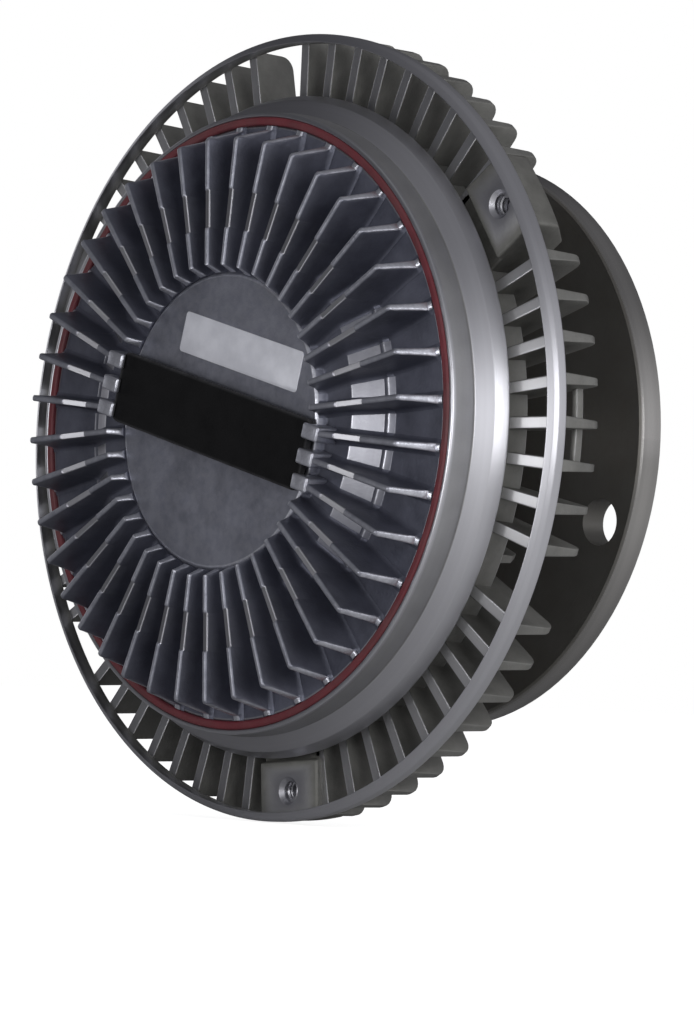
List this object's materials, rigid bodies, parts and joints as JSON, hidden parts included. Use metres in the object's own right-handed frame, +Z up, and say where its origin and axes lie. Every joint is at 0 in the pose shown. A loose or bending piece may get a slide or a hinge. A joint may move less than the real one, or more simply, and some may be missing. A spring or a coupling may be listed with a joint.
{
  "type": "viscous fan clutch",
  "caption": "Viscous fan clutch: finned aluminium housing with a bimetal strip valve and a ribbed fan ring, turning on a ball bearing over a bolted drive flange.",
  "frame": {"origin": "centre of the drive flange's rear mounting face, on the clutch's axis", "axes": "the clutch's axis is Y, the finned front faces -Y, +Z is up and +X is to the right seen from the front"},
  "size_m": [0.26, 0.1139, 0.26],
  "materials": {
    "cast_aluminium": "die-cast, dull blue-grey, with machined lip, cone and ring edge",
    "turned_aluminium": "turned, satin",
    "dark_steel": "dark brown-black forging with a machined bright rim",
    "bearing_steel": "ground steel",
    "plain_steel": "pressed steel, satin",
    "brass": "pressed brass",
    "red_seal": "dark red sealing bead",
    "black_rubber": "black rubber",
    "black_strip": "matt black bimetal"
  },
  "bodies": {
    "drive": {"drive_shaft": "dark_steel", "dust_slinger": "plain_steel", "bearing_inner_race": "bearing_steel", "shaft_circlip": "plain_steel", "rotor": "turned_aluminium", "rotor_circlip": "plain_steel"},
    "housing": {"body": "cast_aluminium", "front_cover": "cast_aluminium", "cover_seal": "red_seal", "bimetal_strip": "black_strip", "pin_seal": "black_rubber", "separator_plate": "plain_steel", "plate_rivets": "plain_steel", "lever_rivet": "plain_steel", "pump_body": "brass", "pump_rivets": "plain_steel", "bearing_outer_race": "bearing_steel", "bearing_shields": "dark_steel", "hub_circlip": "plain_steel"},
    "ball_cage": {"bearing_balls": "bearing_steel", "cage_front": "brass", "cage_rear": "brass", "cage_rivets": "plain_steel"},
    "pin": {"control_pin": "bearing_steel"},
    "lever": {"valve_lever": "plain_steel"}
  },
  "joints": [
    {"name": "housing_spin", "type": "hinge", "parent": "drive", "child": "housing", "pos_m": [0, -0.0455, 0], "axis": [0, -1, 0], "continuous": true},
    {"name": "cage_spin", "type": "hinge", "parent": "drive", "child": "ball_cage", "pos_m": [0, -0.0455, 0], "axis": [0, -1, 0], "continuous": true},
    {"name": "pin_slide", "type": "slide", "parent": "housing", "child": "pin", "axis": [0, -1, 0], "range_m": [0, 0.0015], "deforming": ["bimetal_strip"]},
    {"name": "lever_hinge", "type": "hinge", "parent": "housing", "child": "lever", "pos_m": [-0.03291, -0.09405, -0.019], "axis": [0.5, 0, -0.866], "range_deg": [0, 2.2]}
  ],
  "couplings": [
    {"joint": "cage_spin", "follows": "housing_spin", "ratio": 0.59917},
    {"joint": "lever_hinge", "follows": "pin_slide", "rad_per_m": 25}
  ]
}
